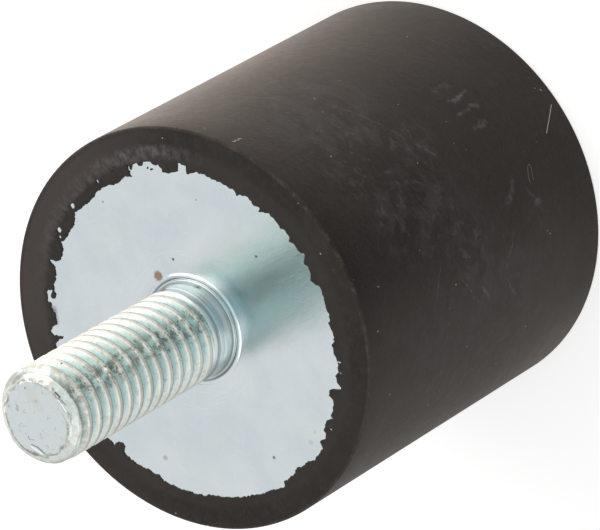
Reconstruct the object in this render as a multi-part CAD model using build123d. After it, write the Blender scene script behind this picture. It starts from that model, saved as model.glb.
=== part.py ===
"""A bobbin vibration mount: a rubber cylinder bonded round a studded end plate and a tapped one.

Every dimension is in millimetres. The mount stands on its tapped end, with +Z along its axis
towards the stud and the origin at the middle of the end it stands on.
"""

from build123d import *
from math import cos, pi, radians, sin, tan
import os

# Rubber body
BODY_DIAMETER = 25.0
BODY_HEIGHT = 25.5
BODY_EDGE_BREAK = 0.15

# The two round steel end plates, each let into an end of the rubber
RUBBER_ROUND_PLATE = 1.0  # thickness of the rubber's wall round each plate
PLATE_THICKNESS = 2.0
PLATE_EDGE_BREAK = 0.3  # on the face's edge only, as the press leaves it
PLATE_SINKAGE = 0.15  # how far the rubber stands proud of each plate

# Moulding flash, the torn film that the rubber leaves on the rim of each plate
RUBBER_OVER_RIM = 1.0  # width of plate that the rubber covers, out to where the mould sealed
FLASH_REACH = 0.9  # how far its longest teeth run in from there
FLASH_SHORTEST = 0.4  # teeth opposite the longest, as a share of their reach
FLASH_POINTS = 120
FLASH_WAVES = ((5, 0.30), (8, 0.34), (13, 0.30), (21, 0.26), (34, 0.24), (47, 0.20))
STUD_END_FLASH_SIDE = 18.0  # bearing of the longest teeth, in degrees from +X
TAPPED_END_FLASH_SIDE = 140.0

# Screw thread of both ends: M6. On the stud it is a row of rings, one for each turn of the real
# helix. In the bush it is left out, so the hole is as drilled
THREAD_CREST_DIAMETER = 5.9
THREAD_PITCH = 1.0
THREAD_DEPTH = 0.6
THREAD_ANGLE = 60.0
TAPPING_DIAMETER = 5.0
TAPPED_DEPTH = 8.0
MOUTH_DIAMETER = 6.5
DRILL_POINT_ANGLE = 118.0

# Stud: threaded shank, plain neck, pilot held in its plate and a flat head in the rubber
STUD_REACH = 15.5  # from the plate's face to the tip
NECK_DIAMETER = 6.0
NECK_LENGTH = 1.5
TIP_FLAT_DIAMETER = 5.1
TIP_LENGTH = 0.5
PILOT_SHOULDER = 0.15  # how far the pilot stands out past the neck
PILOT_PROUD = 0.05
STUD_HEAD_DIAMETER = 12.0
STUD_HEAD_THICKNESS = 2.0

# Ring coined into the stud's plate, which closes its hole on the pilot
COINED_RING_WIDTH = 0.4
COINED_RING_TOP_WIDTH = 0.15
COINED_RING_HEIGHT = 0.08

# Tapped bush: spigot held in its plate and a blind barrel in the rubber
SPIGOT_DIAMETER = 9.0
BARREL_DIAMETER = 11.0
BARREL_EDGE_BREAK = 0.8
BUSH_FLOOR_THICKNESS = 1.6

# Sizes that follow from those above
PLATE_DIAMETER = BODY_DIAMETER - 2 * RUBBER_ROUND_PLATE
BARE_PLATE_DIAMETER = PLATE_DIAMETER - 2 * RUBBER_OVER_RIM
PILOT_DIAMETER = NECK_DIAMETER + 2 * PILOT_SHOULDER
STUD_PLATE_FACE = BODY_HEIGHT - PLATE_SINKAGE
STUD_PLATE_BACK = STUD_PLATE_FACE - PLATE_THICKNESS
BUSH_PLATE_FACE = PLATE_SINKAGE
BUSH_PLATE_BACK = BUSH_PLATE_FACE + PLATE_THICKNESS
STUD_TIP = STUD_PLATE_FACE + STUD_REACH
HOLE_FLOOR = BUSH_PLATE_FACE + TAPPED_DEPTH
DRILL_POINT = HOLE_FLOOR + TAPPING_DIAMETER / 2 / tan(radians(DRILL_POINT_ANGLE / 2))


def turned(*corners):
    """Revolve the half section with these (radius, height) corners about Z."""
    return revolve(Plane.XZ * make_face(Polyline(*corners, close=True)), Axis.Z)


def flash_radius(angle, side):
    """Radius of the flash's torn edge: uneven teeth that run in from the sealing circle."""
    swell = sum(share * sin(count * (angle - side) + 1.7 * count) for count, share in FLASH_WAVES)
    tooth = min(max(swell, 0.0), 1.0)
    nearness = (1 + cos(angle - side)) / 2
    reach = FLASH_REACH * (FLASH_SHORTEST + (1 - FLASH_SHORTEST) * nearness)
    return BARE_PLATE_DIAMETER / 2 - reach * tooth


def bare_patch(side):
    """The ragged disc of plate that the rubber leaves bare, as deep as the plate is sunk."""
    edge = []
    for step in range(FLASH_POINTS):
        angle = 2 * pi * step / FLASH_POINTS
        radius = flash_radius(angle, radians(side))
        edge.append((radius * cos(angle), radius * sin(angle)))
    return extrude(make_face(Polyline(*edge, close=True)), PLATE_SINKAGE)


def end_plate(hole_diameter):
    """A pressed steel disc with a hole, from its sharp back at Z = 0 to its face."""
    rim, hole = PLATE_DIAMETER / 2, hole_diameter / 2
    return turned(
        (hole, 0),
        (rim, 0),
        (rim, PLATE_THICKNESS - PLATE_EDGE_BREAK),
        (rim - PLATE_EDGE_BREAK, PLATE_THICKNESS),
        (hole, PLATE_THICKNESS),
    )


def make_stud_plate():
    """The plate that holds the stud, with a low ring coined round its hole."""
    inner = PILOT_DIAMETER / 2
    flank = (COINED_RING_WIDTH - COINED_RING_TOP_WIDTH) / 2
    ring_top = STUD_PLATE_FACE + COINED_RING_HEIGHT
    ring = turned(
        (inner, STUD_PLATE_FACE),
        (inner + COINED_RING_WIDTH, STUD_PLATE_FACE),
        (inner + COINED_RING_WIDTH - flank, ring_top),
        (inner + flank, ring_top),
    )
    return Pos(0, 0, STUD_PLATE_BACK) * end_plate(PILOT_DIAMETER) + ring


def thread_corners(bottom, top):
    """Corners of the ringed thread, with as many whole turns as fit from bottom to top."""
    crest = THREAD_CREST_DIAMETER / 2
    half_groove = THREAD_DEPTH * tan(radians(THREAD_ANGLE / 2))
    corners = []
    for turn in range(int((top - bottom) / THREAD_PITCH)):
        middle = bottom + (turn + 0.5) * THREAD_PITCH
        corners += [
            (crest, middle - half_groove),
            (crest - THREAD_DEPTH, middle),
            (crest, middle + half_groove),
        ]
    return corners


def make_stud():
    """The stud as one upset and rolled piece."""
    head, pilot = STUD_HEAD_DIAMETER / 2, PILOT_DIAMETER / 2
    neck, crest = NECK_DIAMETER / 2, THREAD_CREST_DIAMETER / 2
    head_bottom = STUD_PLATE_BACK - STUD_HEAD_THICKNESS
    pilot_top = STUD_PLATE_FACE + PILOT_PROUD
    neck_top = STUD_PLATE_FACE + NECK_LENGTH
    return turned(
        (0, head_bottom),
        (head, head_bottom),
        (head, STUD_PLATE_BACK),
        (pilot, STUD_PLATE_BACK),
        (pilot, pilot_top),
        (neck, pilot_top),
        (neck, neck_top),
        (crest, neck_top),
        *thread_corners(neck_top, STUD_TIP - TIP_LENGTH),
        (crest, STUD_TIP - TIP_LENGTH),
        (TIP_FLAT_DIAMETER / 2, STUD_TIP),
        (0, STUD_TIP),
    )


def make_bush_blank():
    """The turned bush before it is drilled, which is the space it takes in the rubber."""
    barrel_top = DRILL_POINT + BUSH_FLOOR_THICKNESS
    return turned(
        (0, BUSH_PLATE_FACE),
        (SPIGOT_DIAMETER / 2, BUSH_PLATE_FACE),
        (SPIGOT_DIAMETER / 2, BUSH_PLATE_BACK),
        (BARREL_DIAMETER / 2, BUSH_PLATE_BACK),
        (BARREL_DIAMETER / 2, barrel_top - BARREL_EDGE_BREAK),
        (BARREL_DIAMETER / 2 - BARREL_EDGE_BREAK, barrel_top),
        (0, barrel_top),
    )


def make_tapped_hole():
    """The blind hole, with a chamfered mouth and the drill's point at its floor."""
    hole, mouth = TAPPING_DIAMETER / 2, MOUTH_DIAMETER / 2
    return turned(
        (0, BUSH_PLATE_FACE),
        (mouth, BUSH_PLATE_FACE),
        (hole, BUSH_PLATE_FACE + mouth - hole),
        (hole, HOLE_FLOOR),
        (0, DRILL_POINT),
    )


def make_rubber_body(fittings):
    """The rubber, moulded round the fittings with a film of flash over the rim of each plate."""
    body = extrude(Circle(BODY_DIAMETER / 2), BODY_HEIGHT)
    body = chamfer(body.edges().filter_by(GeomType.CIRCLE), BODY_EDGE_BREAK)
    body -= Pos(0, 0, STUD_PLATE_FACE) * bare_patch(STUD_END_FLASH_SIDE)
    body -= bare_patch(TAPPED_END_FLASH_SIDE)
    for fitting in fittings:
        body -= fitting
    return body


stud_plate = make_stud_plate()
stud = make_stud()
bush_plate = Pos(0, 0, BUSH_PLATE_BACK) * Rot(180, 0, 0) * end_plate(SPIGOT_DIAMETER)
bush_blank = make_bush_blank()
threaded_bush = bush_blank - make_tapped_hole()
rubber_body = make_rubber_body([stud_plate, stud, bush_plate, bush_blank])

nodes = {
    "rubber_body": rubber_body,
    "stud_plate": stud_plate,
    "stud": stud,
    "bush_plate": bush_plate,
    "threaded_bush": threaded_bush,
}
os.makedirs("parts", exist_ok=True)
for name, shape in nodes.items():
    export_step(shape, f"parts/{name}.step")
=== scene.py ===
"""Looks of a bobbin vibration mount: rubber moulded round a studded end plate and a tapped one.

The mount stands on its tapped end on the floor at Z = 0 and the stud points up. Sizes are in
millimetres, and become metres where a mesh is made. What a geometry tree is given and the studio
are in metres. Bearings are in degrees from +X.
"""

import math

import bpy
import numpy as np
from mathutils import Matrix, Vector, noise


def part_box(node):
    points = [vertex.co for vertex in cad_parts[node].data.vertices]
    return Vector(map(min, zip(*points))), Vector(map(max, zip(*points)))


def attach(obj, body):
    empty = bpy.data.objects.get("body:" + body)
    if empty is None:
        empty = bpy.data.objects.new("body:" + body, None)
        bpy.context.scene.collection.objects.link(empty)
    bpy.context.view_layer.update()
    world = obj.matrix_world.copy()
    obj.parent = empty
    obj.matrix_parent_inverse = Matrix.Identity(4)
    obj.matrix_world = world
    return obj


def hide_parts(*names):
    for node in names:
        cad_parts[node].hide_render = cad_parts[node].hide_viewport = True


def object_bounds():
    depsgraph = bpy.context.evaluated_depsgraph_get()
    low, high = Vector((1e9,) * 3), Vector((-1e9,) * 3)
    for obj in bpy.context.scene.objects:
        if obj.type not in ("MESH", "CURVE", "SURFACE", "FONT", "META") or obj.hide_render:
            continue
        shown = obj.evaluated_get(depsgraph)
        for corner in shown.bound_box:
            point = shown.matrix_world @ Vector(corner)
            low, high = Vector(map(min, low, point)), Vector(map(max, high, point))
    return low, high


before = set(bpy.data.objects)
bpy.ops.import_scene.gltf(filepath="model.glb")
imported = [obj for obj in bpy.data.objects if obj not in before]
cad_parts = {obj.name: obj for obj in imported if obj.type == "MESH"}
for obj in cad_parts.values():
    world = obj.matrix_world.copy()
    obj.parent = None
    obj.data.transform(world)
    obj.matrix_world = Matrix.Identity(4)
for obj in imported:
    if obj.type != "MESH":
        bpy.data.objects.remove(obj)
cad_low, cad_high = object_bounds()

MM = 0.001


def node_size(node):
    """Radius, bottom and top of a turned CAD node."""
    low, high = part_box(node)
    return high.x / MM, low.z / MM, high.z / MM


BODY_RADIUS, BODY_BOTTOM, BODY_TOP = node_size("rubber_body")
PLATE_RADIUS, STUD_PLATE_BACK, _ = node_size("stud_plate")
STUD_HEAD_RADIUS, STUD_HEAD_BOTTOM, STUD_TIP = node_size("stud")
_, BUSH_PLATE_FACE, BUSH_PLATE_BACK = node_size("bush_plate")
BARREL_RADIUS, _, BARREL_TOP = node_size("threaded_bush")
STUD_PLATE_FACE = STUD_PLATE_BACK + BUSH_PLATE_BACK - BUSH_PLATE_FACE

# Rubber
BODY_MIDDLE = (BODY_BOTTOM + BODY_TOP) / 2
CORNER_ROUND = 0.15
RIM_RADIUS = 11.75  # where the rim's flat top begins

# Fittings
PLATE_EDGE_ROUND = 0.3
PLATE_LAND = 1.2  # width of the plain ring of plate round each hole
PILOT_RADIUS = 3.15
PILOT_TOP = STUD_PLATE_FACE + 0.05
NECK_RADIUS = 3.0
NECK_TOP = STUD_PLATE_FACE + 1.5
SPIGOT_RADIUS = 4.5
BARREL_EDGE_BREAK = 0.8

# Screw thread
PITCH = 1.0
THREAD_DEPTH = 0.6
CREST_RADIUS = 2.95
THREAD_BOTTOM = NECK_TOP + 0.05
TIP_FLAT_RADIUS = 2.2
TIP_LENGTH = 0.62
TIP_SHOULDER_OUT, TIP_SHOULDER_DOWN = 0.52, 0.26  # from the flat's edge
THREAD_TOP = STUD_TIP - TIP_LENGTH
TAPPING_RADIUS = 2.5
MOUTH_RADIUS = 3.25
MOUTH_DEPTH = 0.8
HOLE_FLOOR = BUSH_PLATE_FACE + 8.0
BUSH_THREAD_DEPTH = 0.5
DRILL_HALF_ANGLE = math.radians(59)
DRILL_POINT = HOLE_FLOOR + TAPPING_RADIUS / math.tan(DRILL_HALF_ANGLE)

# How finely outlines are divided, and how many sides each turned piece has
ARC_STEPS = 4
STUD_THREAD_STEP = PITCH / 26
BUSH_THREAD_STEP = PITCH / 22
TIP_STEP = 0.25
PLATE_STEP = 0.6
SIDE_STEP = 2.0
RUBBER_SIDES = 900
PLATE_SIDES = 240
STUD_SIDES = 160
BUSH_SIDES = 96

# Edges that turn by more than this stay sharp
SHARP_EDGE = math.radians(40)
SHARP_THREAD_EDGE = math.radians(50)


def on_wall(radius, bearing, height):
    """The place at this radius and height on a bearing in degrees."""
    a = math.radians(bearing)
    return radius * math.cos(a), radius * math.sin(a), height


# ---------------------------------------------------------------- node trees


def feed(tree, socket, value):
    """Link a socket to another socket, or set its value. A colour comes without its alpha."""
    if isinstance(value, bpy.types.NodeSocket):
        tree.links.new(value, socket)
    elif socket.type == "RGBA":
        socket.default_value = (*value, 1)
    elif value is not None:
        socket.default_value = value


# The colour sockets of a Mix node, which has the same names for numbers
FIRST_COLOUR, SECOND_COLOUR, MIXED_COLOUR = 6, 7, 2


class Bench:
    """Short ways to lay nodes in one tree, for a finish or for a shape."""

    def __init__(self, tree):
        self.tree = tree

    def node(self, kind, inputs=None, **settings):
        """A new node with its settings made and its inputs fed."""
        made = self.tree.nodes.new(kind)
        for key, value in settings.items():
            setattr(made, key, value)
        for key, value in (inputs or {}).items():
            feed(self.tree, made.inputs[key], value)
        return made

    def math(self, operation, *values):
        """The result of a Math node on one, two or three numbers."""
        made = self.node("ShaderNodeMath", operation=operation)
        for socket, value in zip(made.inputs, values):
            feed(self.tree, socket, value)
        return made.outputs[0]

    def times(self, first, *others):
        """The product of two or more numbers."""
        product = first
        for other in others:
            product = self.math("MULTIPLY", product, other)
        return product

    def scaled(self, value, by, plus):
        """value * by + plus."""
        return self.math("MULTIPLY_ADD", value, by, plus)

    def vector(self, operation, first, second=None, scale=None):
        """The result of a Vector Math node, a number where the operation gives one."""
        made = self.node("ShaderNodeVectorMath", operation=operation)
        for socket, value in zip(made.inputs, (first, second)):
            feed(self.tree, socket, value)
        if scale is not None:
            feed(self.tree, made.inputs["Scale"], scale)
        gives_number = operation in ("LENGTH", "DISTANCE", "DOT_PRODUCT")
        return made.outputs["Value" if gives_number else "Vector"]

    def split(self, vector):
        """The three numbers of a vector, as sockets."""
        return self.node("ShaderNodeSeparateXYZ", {0: vector}).outputs

    def join(self, x, y, z):
        """A vector from three numbers."""
        return self.node("ShaderNodeCombineXYZ", {0: x, 1: y, 2: z}).outputs[0]

    def ramp(self, value, low, high, to_low=0.0, to_high=1.0):
        """A smooth change from to_low at low to to_high at high, flat beyond both."""
        made = self.node(
            "ShaderNodeMapRange",
            {0: value, 1: low, 2: high, 3: to_low, 4: to_high},
            interpolation_type="SMOOTHSTEP",
        )
        return made.outputs[0]

    def band(self, value, low, high, soft):
        """1 between low and high, fading to 0 over soft on each side."""
        rise = self.ramp(value, low - soft, low + soft)
        fall = self.ramp(value, high - soft, high + soft, 1.0, 0.0)
        return self.times(rise, fall)

    def noise(self, where, scale, detail=4.0, roughness=0.55, distortion=0.0):
        """Noise from 0 to 1, with its middle near 0.5."""
        made = self.node(
            "ShaderNodeTexNoise",
            {
                "Vector": where,
                "Scale": scale,
                "Detail": detail,
                "Roughness": roughness,
                "Distortion": distortion,
            },
        )
        return made.outputs[0]

    def mix_colour(self, share, first, second):
        """The first colour with this share of the second."""
        made = self.node(
            "ShaderNodeMix",
            {0: share, FIRST_COLOUR: first, SECOND_COLOUR: second},
            data_type="RGBA",
            clamp_factor=True,
        )
        return made.outputs[MIXED_COLOUR]


class Finish(Bench):
    """A material's tree, with the place on the piece ready in millimetres.

    Its tone starts as a mix of two colours, and each coat lays another over a share of it.
    """

    def __init__(self, name):
        self.material = bpy.data.materials.new(name)
        self.material.use_nodes = True
        super().__init__(self.material.node_tree)
        self.shader = self.tree.nodes["Principled BSDF"]
        place = self.node("ShaderNodeTexCoord").outputs["Object"]
        self.place = self.vector("SCALE", place, scale=1 / MM)
        self.x, self.y, self.z = self.split(self.place)
        self.radius = self.vector("LENGTH", self.join(self.x, self.y, 0.0))
        self.bearing = self.math("ARCTAN2", self.y, self.x)
        self.wander = self.math("SUBTRACT", self.grain(0.9, 3.0, 0.5), 0.5)
        self.tone = None

    def grain(self, scale, detail, roughness, distortion=0.0):
        """Noise by the place on the piece, with scale cells to a millimetre."""
        return self.noise(self.place, scale, detail, roughness, distortion)

    def ground(self, share, first, second):
        """Start the tone with the first colour and this share of the second."""
        self.tone = self.mix_colour(share, first, second)

    def coat(self, share, colour):
        """Lay a colour over this share of the tone."""
        self.tone = self.mix_colour(share, self.tone, colour)

    def near_bearing(self, degrees, half_width, soft):
        """1 within half_width degrees of a bearing, fading over soft."""
        turned = self.math("SUBTRACT", self.bearing, math.radians(degrees))
        off = self.math("ARCCOSINE", self.math("COSINE", turned))
        near, far = math.radians(half_width - soft), math.radians(half_width + soft)
        return self.ramp(off, near, far, 1.0, 0.0)

    def spot(self, centre, radius, soft, raggedness, grain):
        """1 inside a small ball round a point of the piece, with a ragged edge."""
        off = self.vector("DISTANCE", self.place, Vector(centre))
        wobble = self.math("SUBTRACT", self.noise(self.place, grain), 0.5)
        off = self.scaled(wobble, raggedness, off)
        return self.ramp(off, radius - soft, radius + soft, 1.0, 0.0)

    def line(self, start, end, half_width):
        """1 along a straight mark seen down the axis, from one (x, y) to another."""
        along = Vector((end[0] - start[0], end[1] - start[1], 0.0))
        flat = self.join(self.x, self.y, 0.0)
        off = self.vector("SUBTRACT", flat, Vector((*start, 0.0)))
        share = self.vector("DOT_PRODUCT", off, along / along.length_squared)
        share = self.math("MINIMUM", self.math("MAXIMUM", share, 0.0), 1.0)
        away = self.vector("DISTANCE", off, self.vector("SCALE", along, scale=share))
        return self.ramp(away, half_width * 0.4, half_width, 1.0, 0.0)

    def stroke(self, bearing, low, high, half_width, lean):
        """1 along a mark up the side from low to high, leaning by lean degrees for each mm."""
        middle = math.radians((bearing + 180) % 360 - 180)
        up = self.math("SUBTRACT", self.z, (low + high) / 2)
        off = self.math("SUBTRACT", self.bearing, middle)
        off = self.scaled(up, -math.radians(lean), off)
        across = self.scaled(off, BODY_RADIUS, self.wander)
        mark = self.ramp(self.math("ABSOLUTE", across), half_width * 0.2, half_width, 1.0, 0.0)
        return self.times(mark, self.band(self.z, low, high, 0.2))

    def patch(self, bearing, half_width, low, high, soft):
        """1 on a stretch of the side, round a bearing and from low to high, with soft ends."""
        across = self.near_bearing(bearing, half_width, min(half_width * 0.9, soft * 6))
        return self.times(across, self.band(self.z, low, high, soft))

    def bump(self, strength, depth, height):
        """Raise this relief on the face, depth in metres."""
        relief = {"Strength": strength, "Distance": depth, "Height": height}
        bumped = self.node("ShaderNodeBump", relief).outputs[0]
        feed(self.tree, self.shader.inputs["Normal"], bumped)

    def finish(self, **sockets):
        """Give the shader its tone and these inputs, with _ in a name for a space."""
        feed(self.tree, self.shader.inputs["Base Color"], self.tone)
        for name, value in sockets.items():
            feed(self.tree, self.shader.inputs[name.replace("_", " ")], value)
        return self.material


class Shape(Bench):
    """A geometry tree, with what it is given by name ready in given."""

    def __init__(self, name, source, result, sizes):
        super().__init__(bpy.data.node_groups.new(name, "GeometryNodeTree"))
        self.ask(source, "Geometry")
        for title, usual in sizes.items():
            self.ask(title, "Int" if isinstance(usual, int) else "Float", usual)
        self.ask("Finish", "Material")
        self.tree.interface.new_socket(
            result, in_out="OUTPUT", socket_type="NodeSocketGeometry"
        )
        self.given = self.node("NodeGroupInput").outputs

    def ask(self, title, kind, usual=None):
        """Add a named input, with its usual value."""
        socket = self.tree.interface.new_socket(
            title, in_out="INPUT", socket_type="NodeSocket" + kind
        )
        if usual is not None:
            socket.default_value = usual

    def hand_out(self, shape):
        """Make the shape real, give it its finish and hand it out of the tree."""
        real = self.node("GeometryNodeRealizeInstances", {0: shape}).outputs[0]
        coated = self.node(
            "GeometryNodeSetMaterial", {"Geometry": real, "Material": self.given["Finish"]}
        )
        feed(self.tree, self.node("NodeGroupOutput").inputs[0], coated.outputs[0])
        return self.tree


# ---------------------------------------------------------------- finishes


# Painted shade and light on the side, darkest where it faces the camera and lighter towards its
# edges: bearing, half width in degrees, from, to, share and colour
SIDE_SHADE_AND_LIGHT = (
    (263, 9, 19.5, 28.0, 0.90, (0.0010, 0.0010, 0.0010)),
    (266, 16, 14.0, 28.0, 0.90, (0.0040, 0.0040, 0.0038)),
    (262, 24, 6.0, 28.0, 0.65, (0.0110, 0.0100, 0.0095)),
    (270, 30, -1.0, 12.0, 0.45, (0.0140, 0.0128, 0.0120)),
    (230, 20, 2.0, 28.0, 0.50, (0.0600, 0.0530, 0.0500)),
    (205, 14, -2.0, 9.0, 0.40, (0.0800, 0.0660, 0.0580)),
    (200, 12, -3.0, 5.0, 0.45, (0.1300, 0.1040, 0.0890)),
    (318, 16, -1.0, 27.0, 0.35, (0.0600, 0.0520, 0.0480)),
)
# Bloom on the side: bearing, half width in degrees, from, to and share
BLOOM = (
    (287, 26, 13.0, 21.5, 0.55),
    (262, 16, 12.0, 20.0, 0.45),
    (301, 20, 15.0, 21.5, 0.50),
    (240, 14, 5.0, 14.0, 0.35),
    (225, 18, 8.0, 21.0, 0.40),
    (249, 6, 12.4, 15.4, 0.80),
    (284, 5, 12.6, 15.0, 0.60),
)
# Scuffs on the side: bearing, from, to, half width in mm, lean in degrees for each mm and share
SCUFFS = (
    (293.5, 7.2, 8.9, 0.34, 0.0, 0.14),
    (289.0, 6.4, 8.6, 0.17, 0.0, 0.55),
    (289.0, 6.5, 8.3, 0.35, 0.0, 0.16),
    (284.4, 6.6, 8.8, 0.26, 0.0, 0.34),
    (279.0, 6.9, 8.5, 0.30, 0.0, 0.30),
    (258.7, 7.6, 9.2, 0.36, -3.3, 0.24),
    (254.6, 5.9, 6.8, 0.34, 7.0, 0.20),
    (252.6, 5.7, 6.4, 0.26, 0.0, 0.30),
    (236.7, 12.5, 13.3, 0.26, 5.0, 0.45),
    (239.5, 13.6, 15.2, 0.14, 6.0, 0.30),
    (325.6, 16.1, 16.6, 0.14, 0.0, 0.45),
    (296.0, 14.0, 16.4, 0.10, 9.0, 0.40),
    (280.6, 12.9, 13.8, 0.12, 5.5, 0.50),
    (271.0, 16.2, 17.6, 0.08, 12.0, 0.30),
    (247.0, 17.0, 18.2, 0.12, -8.0, 0.30),
    (232.0, 9.0, 10.6, 0.12, 6.0, 0.26),
    (244.6, 9.0, 10.6, 0.14, -6.0, 0.26),
)


def rubber_finish():
    """Black moulded rubber, a little brown, with a dull bloom, flow streaks and handling marks."""
    f = Finish("moulded_rubber")
    clouds = f.grain(0.16, 4.0, 0.6)
    mottle = f.grain(1.5, 7.0, 0.68)
    grain = f.grain(9.0, 5.0, 0.75)
    around = f.times(f.bearing, BODY_RADIUS)
    up_the_side = f.join(f.times(around, 2.6), f.times(f.z, 0.22), f.radius)
    streaks = f.noise(up_the_side, 1.0, 6.0, 0.68)
    f.ground(f.ramp(clouds, 0.35, 0.65), (0.0220, 0.0192, 0.0178), (0.0330, 0.0282, 0.0258))
    f.coat(f.ramp(mottle, 0.46, 0.75, 0.0, 0.6), (0.0540, 0.0465, 0.0430))
    f.coat(f.ramp(streaks, 0.5, 0.75, 0.0, 0.4), (0.0480, 0.0410, 0.0375))
    fleck = f.ramp(f.grain(16.0, 2.0, 0.6), 0.60, 0.74, 0.0, 0.5)
    f.coat(fleck, (0.0700, 0.0620, 0.0560))

    # Wide patches of painted shade and light round the side
    breakup = f.ramp(f.grain(0.7, 6.0, 0.7, 0.6), 0.35, 0.65)
    on_side = f.ramp(f.radius, BODY_RADIUS - 0.16, BODY_RADIUS - 0.06)
    for bearing, half_width, low, high, share, colour in SIDE_SHADE_AND_LIGHT:
        there = f.patch(bearing, half_width, low, high, 2.5)
        f.coat(f.times(there, on_side, share, f.scaled(breakup, 0.5, 0.6)), colour)

    # Bloom and rubbed places, bluish where they are fresh
    clouded = f.ramp(f.grain(0.55, 5.0, 0.62, 0.3), 0.44, 0.62)
    rubbed = f.ramp(f.grain(1.3, 8.0, 0.72, 0.5), 0.52, 0.68)
    rubbed = f.scaled(rubbed, 0.80, f.times(clouded, 0.40))
    for bearing, half_width, low, high, share in BLOOM:
        there = f.patch(bearing, half_width, low, high, 1.6)
        f.coat(f.times(there, share, rubbed), (0.073, 0.073, 0.076))

    # Scuffs that another part left in passing
    patchy = f.ramp(f.grain(3.0, 4.0, 0.7), 0.35, 0.6)
    for bearing, low, high, half_width, lean, share in SCUFFS:
        there = f.stroke(bearing, low, high, half_width, lean)
        f.coat(f.times(there, patchy, share), (0.19, 0.19, 0.19))

    # The end faces: a grey smear beside the longest flash, grain on the rim and its lighter inner
    # edge, painted light on the rim towards the key lamp, and the worn corner
    on_rim = f.ramp(f.radius, 10.2, 10.6)
    smear_place = f.join(f.times(f.bearing, 26.0), f.times(f.radius, 1.4), 0.0)
    smear = f.times(
        f.near_bearing(6, 36, 18),
        f.band(f.radius, 10.55, 11.25, 0.3),
        f.ramp(f.noise(smear_place, 1.0, 6.0, 0.7), 0.38, 0.68),
        f.ramp(f.z, BODY_TOP - 1.0, BODY_TOP - 0.3),
    )
    f.coat(f.times(smear, 0.95), (0.270, 0.265, 0.272))
    f.coat(f.times(on_rim, f.ramp(grain, 0.4, 0.7, 0.0, 0.35)), (0.0440, 0.0370, 0.0330))
    f.coat(f.ramp(f.radius, 10.9, 11.4, 0.35, 0.0), (0.0520, 0.0450, 0.0420))
    # Painted light on the part of the rim that faces the key lamp
    painted_rim_light = f.times(
        f.near_bearing(32, 45, 25),
        f.band(f.radius, 10.6, 12.3, 0.3),
        f.ramp(f.z, BODY_TOP - 1.0, BODY_TOP - 0.3, 0.0, 0.80),
    )
    f.coat(painted_rim_light, (0.0760, 0.0640, 0.0590))
    from_middle = f.math("ABSOLUTE", f.math("SUBTRACT", f.z, BODY_MIDDLE))
    half_height = BODY_TOP - BODY_MIDDLE
    inner, outer = CORNER_ROUND * 1.6, CORNER_ROUND * 0.5
    corner = f.math(
        "MINIMUM",
        f.ramp(f.radius, BODY_RADIUS - inner, BODY_RADIUS - outer),
        f.ramp(from_middle, half_height - inner, half_height - outer),
    )
    broken = f.ramp(f.grain(0.9, 6.0, 0.75), 0.44, 0.64, 0.15, 0.70)
    f.coat(f.times(corner, broken), (0.100, 0.078, 0.064))

    f.bump(0.5, 0.00004, f.scaled(mottle, 1.6, f.scaled(streaks, 0.6, grain)))
    return f.finish(
        Roughness=f.scaled(mottle, 0.24, 0.33),
        Specular_IOR_Level=0.10,
        Specular_Tint=(1.0, 0.92, 0.86),
        Sheen_Weight=0.08,
        Sheen_Roughness=0.4,
        Sheen_Tint=(1.0, 0.88, 0.80),
    )


# Marks on the plates: x, y, radius, share and colour
PLATE_MARKS = (
    (3.70, 0.25, 0.30, 0.95, (0.30, 0.19, 0.14)),
    (4.10, -1.40, 0.09, 0.85, (0.10, 0.10, 0.10)),
    (1.80, -7.00, 0.08, 0.85, (0.06, 0.06, 0.06)),
    (-8.90, -0.50, 0.10, 0.80, (0.12, 0.11, 0.10)),
    (-5.80, 6.90, 0.16, 0.55, (0.33, 0.27, 0.21)),
    (-9.15, -3.55, 0.16, 0.35, (0.42, 0.38, 0.32)),
    (-8.75, -4.20, 0.11, 0.30, (0.42, 0.38, 0.32)),
    (9.10, 1.10, 0.07, 0.70, (0.20, 0.20, 0.20)),
    (6.40, -5.20, 0.07, 0.60, (0.25, 0.25, 0.25)),
)


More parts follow.
